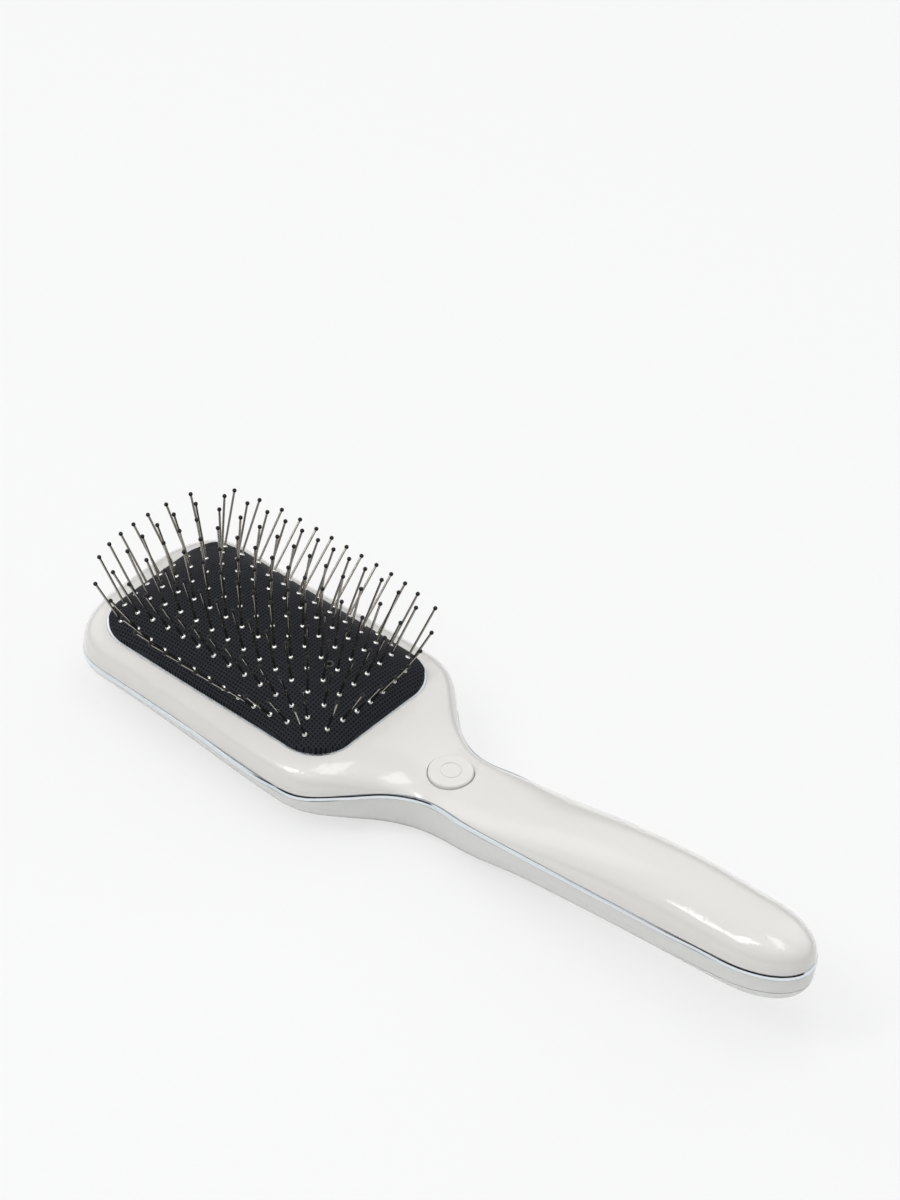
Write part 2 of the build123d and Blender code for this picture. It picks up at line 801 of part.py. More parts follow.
nodes = {}
nodes["front_shell"] = make_front_shell(front_body, screws)
nodes["back_shell"] = make_back_shell(back_body, screws)
nodes["trim_band"] = belt(-band_proud, seam_gap - band_height / 2, band_height / 2 - seam_gap) - belt(
    band_depth, -band_height, band_height)
nodes["pad_bezel"] = make_bezel()

nodes["pin_cushion"] = make_pin_cushion()
nodes["pin_ball_tips"] = make_ball_tips()
plate = rounded_block(skin_half_length + flange_width, skin_half_width + flange_width,
                      opening_corner + flange_width, plate_bottom_z, plate_top_z)
nodes["cushion_plate"] = plate - rod(needle_hole_radius, 0, outlet_y, 0, reach)

nozzle_top_z = crown_z(0, -outlet_setback)
nozzle = rod(nozzle_radius, 0, outlet_y, plate_top_z, nozzle_top_z)
nozzle += rod(nozzle_foot_radius, 0, outlet_y, plate_top_z, plate_top_z + nozzle_foot_height)
nodes["emitter_nozzle"] = nozzle - rod(nozzle_bore, 0, outlet_y, 0, reach)
nodes["emitter_needle"] = rod(needle_radius, 0, outlet_y, module_top_z, nozzle_top_z - needle_recess)
nodes["ion_module"] = block((-module_width / 2, outlet_y - module_length / 2, module_bottom_z),
                            (module_width / 2, outlet_y + module_length / 2, module_top_z))
nodes["module_lead_positive"] = lead(module_lead_points(1))
nodes["module_lead_negative"] = lead(module_lead_points(-1))

nodes["power_button"] = make_button()
nodes["switch_body"], nodes["switch_plunger"] = make_switch()
nodes["button_return_spring"] = Pos(0, neck_y, board_top_z) * coil(
    return_spring_radius, return_spring_wire, return_spring_turns, flange_low_z - board_top_z)
nodes["circuit_board"], nodes["board_components"] = make_board()

cell = Rot(90, 0, 0) * Cylinder(battery_radius, battery_length)
nub = Pos(0, (battery_length + battery_nub_length) / 2, 0) * Rot(90, 0, 0) * Cylinder(
    battery_nub_radius, battery_nub_length)
nodes["battery"] = battery_frame * (cell + nub)
nodes["battery_tray"] = make_battery_tray()
half_contact = contact_width / 2
contact_low_v = rail_top_v + rail_clearance + seat_gap
nodes["positive_contact"] = battery_frame * block(
    (-half_contact, contact_front_u, contact_low_v),
    (half_contact, contact_front_u + contact_thickness, contact_low_v + contact_height))
nodes["spring_contact"] = battery_frame * block(
    (-half_contact, spring_back_u - contact_thickness, contact_low_v),
    (half_contact, spring_back_u, contact_low_v + contact_height))
nodes["battery_spring"] = battery_frame * Pos(0, spring_back_u, 0) * Rot(-90, 0, 0) * coil(
    battery_spring_radius, battery_spring_wire, battery_spring_turns, spring_room)
nodes["battery_cover"] = make_battery_cover(back_body)
positive_points, negative_points = battery_lead_points()
nodes["battery_lead_positive"] = lead(positive_points)
nodes["battery_lead_negative"] = lead(negative_points)

nodes["case_screws"] = Compound([place * make_screw() for place in screws])

for name, part in nodes.items():
    export_step(part, os.path.join("parts", name + ".step"))
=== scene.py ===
"""Ionic paddle brush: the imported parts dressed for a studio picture.

Metres, in the parts' own frame: +Z is up, +Y runs to the tip of the head, X runs across.
"""
import json
import logging
import math
from collections.abc import Callable
from dataclasses import dataclass
from enum import Enum

import bmesh
import bpy
import numpy as np
from mathutils import Matrix, Vector


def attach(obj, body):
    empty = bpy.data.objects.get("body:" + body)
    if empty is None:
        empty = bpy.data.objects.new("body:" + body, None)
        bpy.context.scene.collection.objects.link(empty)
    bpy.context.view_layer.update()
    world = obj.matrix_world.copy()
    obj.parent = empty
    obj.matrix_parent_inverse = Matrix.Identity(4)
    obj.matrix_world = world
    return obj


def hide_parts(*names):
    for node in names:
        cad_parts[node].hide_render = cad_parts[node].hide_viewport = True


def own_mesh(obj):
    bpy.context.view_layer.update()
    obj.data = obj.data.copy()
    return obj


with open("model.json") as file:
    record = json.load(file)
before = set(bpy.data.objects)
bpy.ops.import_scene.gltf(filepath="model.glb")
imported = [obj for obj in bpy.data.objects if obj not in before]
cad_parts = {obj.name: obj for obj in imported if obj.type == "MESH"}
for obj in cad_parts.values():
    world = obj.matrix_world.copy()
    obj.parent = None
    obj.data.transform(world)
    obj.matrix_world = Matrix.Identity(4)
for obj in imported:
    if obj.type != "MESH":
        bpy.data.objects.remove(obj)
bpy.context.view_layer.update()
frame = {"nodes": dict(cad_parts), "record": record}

LOG = logging.getLogger("brush")
MM = 0.001
OPENING_CENTRE_Y = 73.0


class Surface(Enum):
    """What a finish is made of, which sets the texture that its material gets."""

    MOULDED = "moulded"
    METAL = "metal"
    WOVEN = "woven"


@dataclass(frozen=True)
class Finish:
    """One finish of the brush, with its colour and how it takes the light."""

    slot: str
    surface: Surface
    colour: tuple[float, float, float]
    roughness: float
    metallic: float = 0.0
    coat: float = 0.0
    coat_roughness: float = 0.05
    grain_scale: float = 900.0
    grain_height: float = 0.02
    # Random tone swing; on a woven finish it sets the painted shade in the weave's hollows and the painted
    # sheen on the thread crowns
    mottle_and_weave_shade: float = 0.03
    specular: float = 0.5


class NodeBench:
    """Adds nodes and links to one node tree."""

    def __init__(self, tree: bpy.types.NodeTree) -> None:
        """Starts on an empty tree.

        Args:
            tree: The tree that the nodes go into.
        """
        self.tree = tree
        tree.nodes.clear()

    def add(self, kind: str, values: dict | None = None, **settings: object) -> bpy.types.Node:
        """Adds a node.

        Args:
            kind: The node's type name.
            values: Values of its inputs, by their name or number.
            settings: Values of the node's own properties.

        Returns:
            The new node.
        """
        node = self.tree.nodes.new(kind)
        for name, value in settings.items():
            setattr(node, name, value)
        for name, value in (values or {}).items():
            node.inputs[name].default_value = value
        return node

    def join(self, start: bpy.types.Node, output: str | int, end: bpy.types.Node, entry: str | int) -> None:
        """Links an output of one node to an input of another.

        Args:
            start: The node that gives the value.
            output: Name or number of its output.
            end: The node that takes the value.
            entry: Name or number of its input.
        """
        self.tree.links.new(start.outputs[output], end.inputs[entry])


class EffectGroups:
    """Shader node groups that several materials share."""

    def __init__(self) -> None:
        """Builds the groups once."""
        self.grain = self._make_grain()
        self.streaks = self._make_streaks()

    @staticmethod
    def _sockets(group: bpy.types.NodeTree, inputs: dict[str, float]) -> None:
        """Gives a group its place and number inputs, and its height, shade and roughness outputs.

        Args:
            group: The node group.
            inputs: Name of each number input with its default.
        """
        group.interface.new_socket("Vector", in_out="INPUT", socket_type="NodeSocketVector")
        for name, default in inputs.items():
            socket = group.interface.new_socket(name, in_out="INPUT", socket_type="NodeSocketFloat")
            socket.default_value = default
        for name in ("Height", "Shade", "Roughness"):
            group.interface.new_socket(name, in_out="OUTPUT", socket_type="NodeSocketFloat")

    @staticmethod
    def _swing_gloss(bench: NodeBench, source: bpy.types.Node, result: bpy.types.Node,
                     noise: bpy.types.Node) -> None:
        """Lets a noise swing the roughness a little about its set value.

        Args:
            bench: The group's bench.
            source: Its input node.
            result: Its output node.
            noise: The noise that swings the roughness.
        """
        centre = bench.add("ShaderNodeMath", {1: 0.5}, operation="SUBTRACT")
        swing = bench.add("ShaderNodeMath", operation="MULTIPLY")
        total = bench.add("ShaderNodeMath", operation="ADD")
        bench.join(noise, "Fac", centre, 0)
        bench.join(centre, 0, swing, 0)
        bench.join(source, "Roughness Swing", swing, 1)
        bench.join(swing, 0, total, 0)
        bench.join(source, "Roughness", total, 1)
        bench.join(total, 0, result, "Roughness")

    def _make_grain(self) -> bpy.types.NodeTree:
        """Fine moulded grain with slow shade and gloss changes.

        Returns:
            The node group.
        """
        group = bpy.data.node_groups.new("moulded_grain", "ShaderNodeTree")
        bench = NodeBench(group)
        self._sockets(group, {"Scale": 900.0, "Roughness": 0.2, "Roughness Swing": 0.04})
        source = bench.add("NodeGroupInput")
        result = bench.add("NodeGroupOutput")
        fine = bench.add("ShaderNodeTexNoise", {"Detail": 3.0})
        slow = bench.add("ShaderNodeTexNoise", {"Scale": 38.0, "Detail": 2.0})
        bench.join(source, "Vector", fine, "Vector")
        bench.join(source, "Scale", fine, "Scale")
        bench.join(source, "Vector", slow, "Vector")
        bench.join(fine, "Fac", result, "Height")
        bench.join(slow, "Fac", result, "Shade")
        self._swing_gloss(bench, source, result, slow)
        return group

    def _make_streaks(self) -> bpy.types.NodeTree:
        """Drawn and brushed streaks of bright metal, with a change of gloss.

        Returns:
            The node group.
        """
        group = bpy.data.node_groups.new("metal_streaks", "ShaderNodeTree")
        bench = NodeBench(group)
        self._sockets(group, {"Scale": 700.0, "Roughness": 0.2, "Roughness Swing": 0.08})
        source = bench.add("NodeGroupInput")
        result = bench.add("NodeGroupOutput")
        stretch = bench.add("ShaderNodeMapping", {"Scale": (1.0, 1.0, 0.12)})
        streak = bench.add("ShaderNodeTexNoise", {"Detail": 4.0})
        bench.join(source, "Vector", stretch, "Vector")
        bench.join(stretch, 0, streak, "Vector")
        bench.join(source, "Scale", streak, "Scale")
        bench.join(streak, "Fac", result, "Height")
        bench.join(streak, "Fac", result, "Shade")
        self._swing_gloss(bench, source, result, streak)
        return group


class Paintbox:
    """Makes the material of each finish, once."""

    def __init__(self, effects: EffectGroups, finishes: tuple[Finish, ...]) -> None:
        """Keeps the finishes by their slot.

        Args:
            effects: The shared node groups.
            finishes: Every finish of the brush.
        """
        self.effects = effects
        self.finishes = {finish.slot: finish for finish in finishes}
        self.made: dict[str, bpy.types.Material] = {}

    def material(self, slot: str) -> bpy.types.Material:
        """The material of a slot.

        Args:
            slot: Name of the record's material slot.

        Returns:
            Its node material.
        """
        if slot not in self.made:
            self.made[slot] = self._mix(self.finishes[slot])
        return self.made[slot]

    def _mix(self, finish: Finish) -> bpy.types.Material:
        """Builds the node material of one finish.

        Args:
            finish: The finish.

        Returns:
            The new material.
        """
        material = bpy.data.materials.new(finish.slot)
        material.use_nodes = True
        bench = NodeBench(material.node_tree)
        output = bench.add("ShaderNodeOutputMaterial")
        shader = bench.add("ShaderNodeBsdfPrincipled", {
            "Metallic": finish.metallic, "Coat Weight": finish.coat,
            "Specular IOR Level": finish.specular, "Coat Roughness": finish.coat_roughness})
        bench.join(shader, 0, output, 0)
        place = bench.add("ShaderNodeTexCoord")
        metal = finish.surface is Surface.METAL
        texture = bench.add("ShaderNodeGroup", {"Scale": finish.grain_scale, "Roughness": finish.roughness},
                            node_tree=self.effects.streaks if metal else self.effects.grain)
        # Colour swings between a darker and a paler copy: at random on moulded and metal finishes, by
        # thread height on the woven one, where it is painted shade and painted sheen
        darker, paler = 1 - finish.mottle_and_weave_shade, 1 + finish.mottle_and_weave_shade
        tone = bench.add("ShaderNodeMix", {
            "A": (*(part * darker for part in finish.colour), 1),
            "B": (*(min(part * paler, 1) for part in finish.colour), 1)}, data_type="RGBA")
        bump = bench.add("ShaderNodeBump", {"Distance": finish.grain_height * MM, "Strength": 0.5})
        bench.join(place, "Object", texture, "Vector")
        bench.join(texture, "Roughness", shader, "Roughness")
        # On the woven finish the threads drive the colour: painted shade in the weave's hollows, painted
        # sheen on the thread crowns
        if finish.surface is Surface.WOVEN:
            self._weave(bench, tone, bump)
        else:
            bench.join(texture, "Shade", tone, "Factor")
            bench.join(texture, "Height", bump, "Height")
        bench.join(tone, "Result", shader, "Base Color")
        bench.join(bump, 0, shader, "Normal")
        return material

    @staticmethod
    def _weave(bench: NodeBench, tone: bpy.types.Node, bump: bpy.types.Node) -> None:
        """Lays a fine square weave on a material, along the piece's own UV map.

        Args:
            bench: The material's nodes.
            tone: The colour mix that the threads drive; it paints shade into the hollows between threads
                and a paler sheen on their crowns.
            bump: The bump that the threads drive.
        """
        threads_per_metre, thread_blend = 960.0, 0.35
        place = bench.add("ShaderNodeUVMap", uv_map="cloth")
        scale = bench.add("ShaderNodeVectorMath", {"Scale": threads_per_metre}, operation="SCALE")
        split = bench.add("ShaderNodeSeparateXYZ")
        bench.join(place, 0, scale, 0)
        bench.join(scale, 0, split, 0)
        waves = []
        for axis in ("X", "Y"):
            wave = bench.add("ShaderNodeMath", operation="SINE")
            turn = bench.add("ShaderNodeMath", {1: 2 * math.pi}, operation="MULTIPLY")
            bench.join(split, axis, turn, 0)
            bench.join(turn, 0, wave, 0)
            waves.append(wave)
        threads = bench.add("ShaderNodeMath", {2: thread_blend}, operation="SMOOTH_MAX")
        bench.join(waves[0], 0, threads, 0)
        bench.join(waves[1], 0, threads, 1)
        bench.join(threads, 0, bump, "Height")
        # Painted shade and sheen: the hollows between threads get the darker colour, the thread crowns the
        # paler one
        ramp = bench.add("ShaderNodeMapRange", {"From Min": -1.0, "From Max": 1.0})
        bench.join(threads, 0, ramp, "Value")
        bench.join(ramp, 0, tone, "Factor")


FINISHES = (
    Finish("case_white", Surface.MOULDED, (0.762, 0.746, 0.716), 0.24, coat=1.0, coat_roughness=0.012,
           grain_scale=260.0, grain_height=0.003, mottle_and_weave_shade=0.008, specular=0.12),
    *(Finish(slot, Surface.MOULDED, (0.725, 0.725, 0.70), 0.26, coat=0.75, coat_roughness=0.05,
             grain_scale=260.0, grain_height=0.004, mottle_and_weave_shade=0.008) for slot in ("case_back", "cover_white")),
    Finish("button_white", Surface.MOULDED, (0.79, 0.765, 0.74), 0.34, grain_scale=1500.0,
           grain_height=0.010, mottle_and_weave_shade=0.012),
    Finish("band_chrome", Surface.METAL, (0.76, 0.80, 0.84), 0.06, metallic=1.0, grain_scale=300.0,
           grain_height=0.001, mottle_and_weave_shade=0.02),
    Finish("bezel_chrome", Surface.METAL, (0.86, 0.90, 0.94), 0.26, metallic=1.0, grain_scale=300.0,
           grain_height=0.001, mottle_and_weave_shade=0.02),
    # On the cushion the tone swing of 0.95 is painted shade and sheen: the weave's hollows go almost black
    # and the thread crowns paler
    Finish("cushion_rubber", Surface.WOVEN, (0.0150, 0.0158, 0.0190), 0.55, grain_height=0.20, mottle_and_weave_shade=0.95,
           specular=0.06),
    Finish("tip_black", Surface.MOULDED, (0.012, 0.010, 0.010), 0.36, grain_scale=1400.0,
           grain_height=0.010, mottle_and_weave_shade=0.10, specular=0.3),
    Finish("steel", Surface.METAL, (0.36, 0.335, 0.305), 0.11, metallic=1.0, grain_height=0.0004,
           mottle_and_weave_shade=0.06),
    Finish("collar_steel", Surface.METAL, (0.82, 0.81, 0.79), 0.13, metallic=1.0, grain_height=0.0004,
           mottle_and_weave_shade=0.04),
    Finish("spring_steel", Surface.METAL, (0.58, 0.58, 0.58), 0.26, metallic=1.0, grain_height=0.004,
           mottle_and_weave_shade=0.06),
    Finish("plastic_black", Surface.MOULDED, (0.035, 0.035, 0.037), 0.42, grain_height=0.02, mottle_and_weave_shade=0.12),
    Finish("plastic_grey", Surface.MOULDED, (0.30, 0.30, 0.31), 0.44, grain_height=0.02, mottle_and_weave_shade=0.06),
    Finish("board_green", Surface.MOULDED, (0.04, 0.21, 0.10), 0.38, grain_scale=2200.0,
           grain_height=0.02, mottle_and_weave_shade=0.10),
    Finish("cell_wrap", Surface.METAL, (0.18, 0.29, 0.40), 0.30, metallic=0.6, grain_height=0.006,
           mottle_and_weave_shade=0.05),
    Finish("lead_red", Surface.MOULDED, (0.50, 0.04, 0.03), 0.45, grain_height=0.01, mottle_and_weave_shade=0.06),
    Finish("lead_black", Surface.MOULDED, (0.030, 0.030, 0.030), 0.45, grain_height=0.01, mottle_and_weave_shade=0.08),
)


def put_in_scene(name: str, data: bpy.types.ID) -> bpy.types.Object:
    """Puts a mesh, lamp or camera into the scene.

    Args:
        name: Name of its object.
        data: The mesh, lamp or camera.

    Returns:
        The new object, at the origin.
    """
    thing = bpy.data.objects.new(name, data)
    bpy.context.scene.collection.objects.link(thing)
    return thing


def settled_mesh(piece: bpy.types.Object) -> bpy.types.Mesh:
    """The mesh that a piece's modifiers give.

    Args:
        piece: The piece.

    Returns:
        A plain mesh.
    """
    bpy.context.view_layer.update()
    result = piece.evaluated_get(bpy.context.evaluated_depsgraph_get())
    return bpy.data.meshes.new_from_object(result)


def make_piece(name: str, mesh: bpy.types.Mesh, material: bpy.types.Material) -> bpy.types.Object:
    """Puts a mesh into the scene as a smooth-shaded piece at the origin.

    Args:
        name: The piece's name.
        mesh: Its mesh, with its place in it.
        material: Its material.

    Returns:
        The new object.
    """
    piece = put_in_scene(name, mesh)
    mesh.materials.clear()
    mesh.materials.append(material)
    mesh.polygons.foreach_set("use_smooth", [True] * len(mesh.polygons))
    mesh.update()
    return piece


def ring_faces(rings: int, count: int, first: int = 0, closed: bool = False) -> list[tuple[int, ...]]:
    """Faces between rings of points that follow each other in a mesh.

    Args:
        rings: Number of rings.
        count: Number of points in each.
        first: Number of the first ring's first point.
        closed: Whether the last ring joins the first.

    Returns:
        The faces, each with four corners.
    """
    faces = []
    for ring in range(rings if closed else rings - 1):
        near, far = first + ring * count, first + (ring + 1) % rings * count
        for place in range(count):
            after = (place + 1) % count
            faces.append((near + place, far + place, far + after, near + after))
    return faces


def closed_mesh(name: str, points: list, faces: list[tuple[int, ...]]) -> bpy.types.Mesh:
    """Makes a closed mesh and turns its faces outward.

    Args:
        name: Name of the mesh.
        points: Its points in metres.
        faces: Its faces.

    Returns:
        The mesh.
    """
    mesh = bpy.data.meshes.new(name)
    mesh.from_pydata(points, [], faces)
    work = bmesh.new()
    work.from_mesh(mesh)
    bmesh.ops.recalc_face_normals(work, faces=work.faces)
    work.to_mesh(mesh)
    work.free()
    return mesh


def apply_tree(name: str, points: bpy.types.Mesh, tree: bpy.types.NodeTree,
               sizes: dict[str, float], material: bpy.types.Material) -> bpy.types.Object:
    """Runs a geometry tree over points and keeps the result as a plain mesh.

    Args:
        name: Name of the finished piece.
        points: Mesh of points that carries the tree's attributes.
        tree: The geometry node tree.
        sizes: Value of each named input, in metres.
        material: Material that the tree sets.

    Returns:
        The finished piece.
    """
    carrier = put_in_scene(name + "_points", points)
    modifier = carrier.modifiers.new("maker", "NODES")
    modifier.node_group = tree
    values = {**sizes, "Material": material}
    for item in tree.interface.items_tree:
        if item.item_type == "SOCKET" and item.in_out == "INPUT" and item.name in values:
            modifier[item.identifier] = values[item.name]
    mesh = settled_mesh(carrier)
    bpy.data.objects.remove(carrier)
    mesh.name = name
    return make_piece(name, mesh, material)


@dataclass
class Crown:
    """The cushion's crown as a rule: its height over each point. Millimetres."""

    half_length: float = 43.9
    half_width: float = 25.9
    edge_z: float = 25.3
    height: float = 8.9
    power_long: float = 3.55
    power_wide: float = 2.7
    fill: float = 0.9
    corner: float = 12.0
    halvings: int = 40
    farthest: float = 1.5

    def z(self, x: np.ndarray, y: np.ndarray) -> np.ndarray:
        """Height of the surface over points counted from the middle of the opening.

        Args:
            x: Places across.
            y: Places along.

        Returns:
            Heights over the resting plane.
        """
        long_side = np.clip(1 - np.abs(y / self.half_length) ** self.power_long, 0, 1)
        wide_side = np.clip(1 - np.abs(x / self.half_width) ** self.power_wide, 0, 1)
        return self.edge_z + self.height * (long_side * wide_side) ** self.fill

    def _reach(self, angles: np.ndarray,
               inside: Callable[[np.ndarray, np.ndarray], np.ndarray]) -> np.ndarray:
        """Farthest points inside a form, along rays from its middle.

        Args:
            angles: Directions of the rays.
            inside: Tells for places across and along whether they lie inside the form.

        Returns:
            One point per ray.
        """
        rays = np.stack([self.half_width * np.cos(angles), self.half_length * np.sin(angles)], 1)
        low, high = np.zeros(len(angles)), np.full(len(angles), self.farthest)
        for _ in range(self.halvings):
            middle = (low + high) / 2
            points = rays * middle[:, None]
            held = inside(points[:, 0], points[:, 1])
            low, high = np.where(held, middle, low), np.where(held, high, middle)
        return rays * low[:, None]

    def outline(self, angles: np.ndarray) -> np.ndarray:
        """Rounded rectangle of the crown's foot, as points along rays from its middle.

        Args:
            angles: Directions of the rays.

        Returns:
            One point per ray.
        """
        def inside(x: np.ndarray, y: np.ndarray) -> np.ndarray:
            """Whether places lie inside the rounded rectangle."""
            across = np.maximum(np.abs(x) - self.half_width + self.corner, 0)
            along = np.maximum(np.abs(y) - self.half_length + self.corner, 0)
            return np.hypot(across, along) <= self.corner

        return self._reach(angles, inside)

    def level(self, angles: np.ndarray, share: float) -> np.ndarray:
        """Contour of the crown at a share of its height, as points along rays.

        Args:
            angles: Directions of the rays.
            share: Share of the crown's height.

        Returns:
            One point per ray.
        """
        target = self.edge_z + share * self.height
        return self._reach(angles, lambda x, y: self.z(x, y) > target)


@dataclass
class CushionSkin:
    """The woven rubber skin of the cushion, with its flange and outlet hole. Millimetres."""

    crown: Crown
    skin: float = 1.6
    flange_width: float = 1.6
    flange_top_z: float = 20.6
    plate_z: float = 19.4
    outlet: tuple[float, float, float] = (0.0, 49.0, 1.6)
    outlet_sides: int = 48
    outlet_depth: float = 30.0
    rays: int = 224
    rings: int = 44
    ring_crowding: float = 1.3
    highest_ring: float = 0.9985
    lowest_contour: float = 0.10
    cloth_steps: int = 40
    crease: float = 40.0

    def build(self, paints: Paintbox) -> bpy.types.Object:
        """Builds the closed skin, cuts its outlet and dresses it.

        Args:
            paints: The materials.

        Returns:
            The finished skin.
        """
        angles = np.linspace(0, 2 * math.pi, self.rays, endpoint=False)
        rings = self._crown_rings(self.crown, angles)
        foot = self.crown.outline(angles)
        length = np.linalg.norm(foot, axis=1, keepdims=True)
        wide = foot * (length + self.flange_width) / length
        inner_crown = Crown(self.crown.half_length - self.skin, self.crown.half_width - self.skin,
                            self.crown.edge_z - self.skin, self.crown.height,
                            corner=self.crown.corner - self.skin)
        inner_foot = inner_crown.outline(angles)
        rings += [np.c_[foot, np.full(self.rays, self.flange_top_z)],
                  np.c_[wide, np.full(self.rays, self.flange_top_z)],
                  np.c_[wide, np.full(self.rays, self.plate_z)],
                  np.c_[inner_foot, np.full(self.rays, self.plate_z)]]
        rings += self._crown_rings(inner_crown, angles)[::-1]
        mesh = self._mesh(rings)
        piece = make_piece("cushion_skin", mesh, paints.material("cushion_rubber"))
        self._cut_outlet(piece)
        return piece

    def _crown_rings(self, crown: Crown, angles: np.ndarray) -> list[np.ndarray]:
        """Rings of points down a crown, from its top to its foot.

        Args:
            crown: The crown.
            angles: Directions of the rays.

        Returns:
            Rings from the innermost to the foot.
        """
        first = crown.level(angles, self.lowest_contour)
        foot = crown.outline(angles)
        rings = []
        for step in range(1, self.rings + 1):
            share = math.cos(0.5 * math.pi * step / self.rings) ** self.ring_crowding
            share = min(share, self.highest_ring)
            if share > self.lowest_contour:
                flat = crown.level(angles, share)
            else:
                part = share / self.lowest_contour
                flat = foot * (1 - part) + first * part
            rings.append(np.c_[flat, np.full(len(angles), crown.edge_z + share * crown.height)])
        return rings

    def _mesh(self, rings: list[np.ndarray]) -> bpy.types.Mesh:
        """Joins rings to a closed mesh with a middle point at each end, and maps its cloth.

        Args:
            rings: Rings of equal length, from the top of the crown to the top of its inside.

        Returns:
            The mesh in metres.
        """
        count = self.rays
        top = np.array([[0, 0, self.crown.edge_z + self.crown.height]])
        under = np.array([[0, 0, self.crown.edge_z + self.crown.height - self.skin]])
        points = np.concatenate([top, *rings, under])
        faces = [(0, 1 + i, 1 + (i + 1) % count) for i in range(count)]
        faces += ring_faces(len(rings), count, first=1)
        last = 1 + (len(rings) - 1) * count
        end = len(points) - 1
        faces += [(last + i, end, last + (i + 1) % count) for i in range(count)]
        mesh = bpy.data.meshes.new("cushion_skin")
        placed = points + np.array([0, OPENING_CENTRE_Y, 0])
        mesh.from_pydata((placed * MM).tolist(), [], faces)
        cloth = self._cloth_places(points[:, 0], points[:, 1]) * MM
        layer = mesh.uv_layers.new(name="cloth")
        corner_points = np.empty(len(mesh.loops), dtype=np.int32)
        mesh.loops.foreach_get("vertex_index", corner_points)
        layer.data.foreach_set("uv", cloth[corner_points].ravel())
        mesh.update()
        return mesh

    def _cloth_places(self, x: np.ndarray, y: np.ndarray) -> np.ndarray:
        """Places on the cloth, measured along the surface, so that the weave keeps its size on the flanks.

        Args:
            x: Places across.
            y: Places along.

        Returns:
            One cloth place per point, in millimetres.
        """
        steps = self.cloth_steps
        places = np.zeros((len(x), 2))
        for step in range(steps):
            before, after = step / steps, (step + 1) / steps
            rise_x = self.crown.z(x * after, y) - self.crown.z(x * before, y)
            rise_y = self.crown.z(x, y * after) - self.crown.z(x, y * before)
            places[:, 0] += np.hypot(x / steps, rise_x)
            places[:, 1] += np.hypot(y / steps, rise_y)
        return places * np.sign(np.c_[x, y])

    def _cut_outlet(self, piece: bpy.types.Object) -> None:
        """Cuts the round outlet hole through the skin.

        Args:
            piece: The skin.
        """
        x, y, radius = self.outlet
        cutter_mesh = bpy.data.meshes.new("outlet_cutter")
        work = bmesh.new()
        place = Matrix.Translation((x * MM, y * MM, self.outlet_depth * MM))
        bmesh.ops.create_cone(work, cap_ends=True, segments=self.outlet_sides, radius1=radius * MM,
                              radius2=radius * MM, depth=self.outlet_depth * MM, matrix=place)
        work.to_mesh(cutter_mesh)
        work.free()
        cutter = put_in_scene("outlet_cutter", cutter_mesh)
        cut = piece.modifiers.new("outlet", "BOOLEAN")
        cut.object = cutter
        cut.operation = "DIFFERENCE"
        cut.solver = "EXACT"
        mesh = settled_mesh(piece)
        piece.modifiers.clear()
        piece.data = mesh
        mesh.set_sharp_from_angle(angle=math.radians(self.crease))
        bpy.data.objects.remove(cutter)


